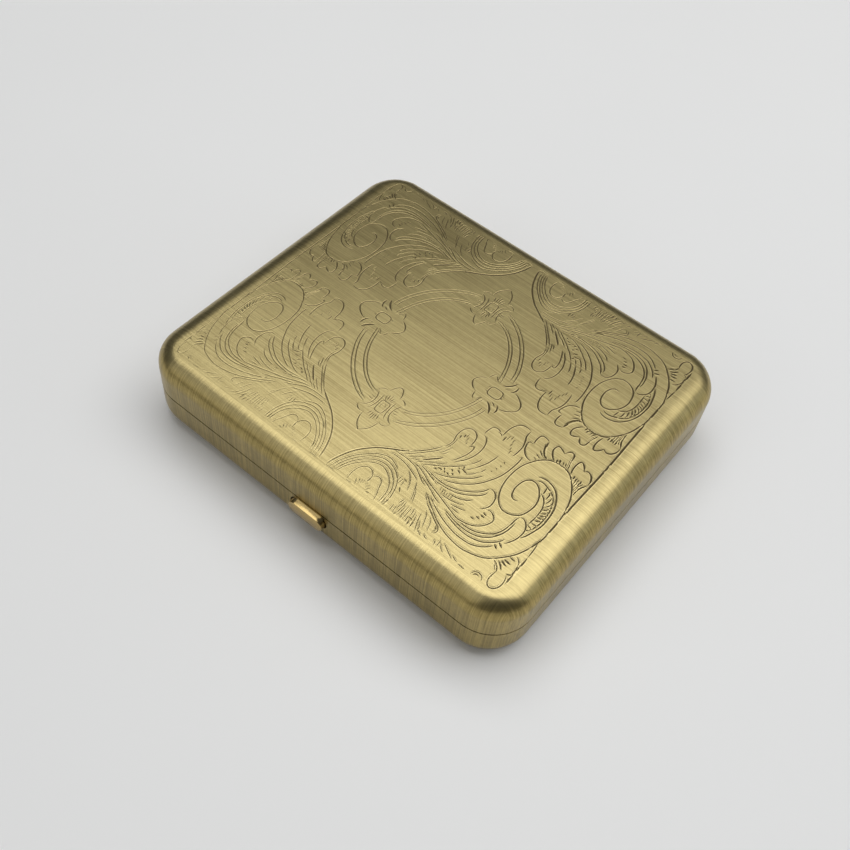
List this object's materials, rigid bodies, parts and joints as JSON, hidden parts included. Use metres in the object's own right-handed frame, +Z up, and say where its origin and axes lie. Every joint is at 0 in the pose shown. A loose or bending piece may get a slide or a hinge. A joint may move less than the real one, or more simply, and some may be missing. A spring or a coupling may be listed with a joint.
{
  "type": "cigarette case",
  "caption": "Flat hinged pocket case with rolled edges and an engraved lid, holding two rows of cigarettes under sprung bars, with a push-button catch.",
  "frame": {"origin": "under the middle of the closed case, on the surface it stands on", "axes": "+X along the long side, +Y from the push button to the hinge, +Z up through the engraved lid"},
  "size_m": [0.095, 0.0826, 0.019],
  "materials": {
    "antique_brass": "brushed antique brass, engraved, with dark lines",
    "inner_brass": "satin brass",
    "polished_brass": "polished brass",
    "steel": "bright drawn steel",
    "spring_steel": "spring wire"
  },
  "bodies": {
    "base": {"base_shell": "antique_brass", "base_hinge_leaf": "inner_brass", "hinge_pin": "steel", "base_rim_strip_left": "inner_brass", "base_rim_strip_right": "inner_brass", "base_retainer_rod": "steel", "base_rod_lug_left": "inner_brass", "base_rod_lug_right": "inner_brass", "catch_bracket": "inner_brass", "catch_spring": "spring_steel"},
    "lid": {"lid_shell": "antique_brass", "lid_hinge_leaf": "inner_brass", "lid_retainer_rod": "steel", "lid_rod_lug_left": "inner_brass", "lid_rod_lug_right": "inner_brass", "keeper_plate": "inner_brass"},
    "catch": {"push_button": "polished_brass", "catch_plate": "steel", "catch_guide_pin": "steel"},
    "base_retainer": {"base_retainer_bar": "polished_brass", "base_retainer_spring_left": "spring_steel", "base_retainer_spring_right": "spring_steel"},
    "lid_retainer": {"lid_retainer_bar": "polished_brass", "lid_retainer_spring_left": "spring_steel", "lid_retainer_spring_right": "spring_steel"}
  },
  "joints": [
    {"name": "lid_hinge", "type": "hinge", "parent": "base", "child": "lid", "pos_m": [0, 0.0399, 0.0095], "axis": [-1, 0, 0], "range_deg": [0, 150]},
    {"name": "button_press", "type": "slide", "parent": "base", "child": "catch", "axis": [0, 1, 0], "range_m": [0, 0.0011], "stiffness_N_per_m": 300, "springref_m": -0.002, "deforming": ["catch_spring"]},
    {"name": "base_retainer_lift", "type": "hinge", "parent": "base", "child": "base_retainer", "pos_m": [0, 0.034, 0.0072], "axis": [-1, 0, 0], "range_deg": [0, 6.2], "stiffness_Nm_per_rad": 0.02, "springref_deg": -20.05},
    {"name": "lid_retainer_lift", "type": "hinge", "parent": "lid", "child": "lid_retainer", "pos_m": [0, 0.034, 0.0118], "axis": [1, 0, 0], "range_deg": [0, 6.2], "stiffness_Nm_per_rad": 0.02, "springref_deg": -20.05}
  ]
}
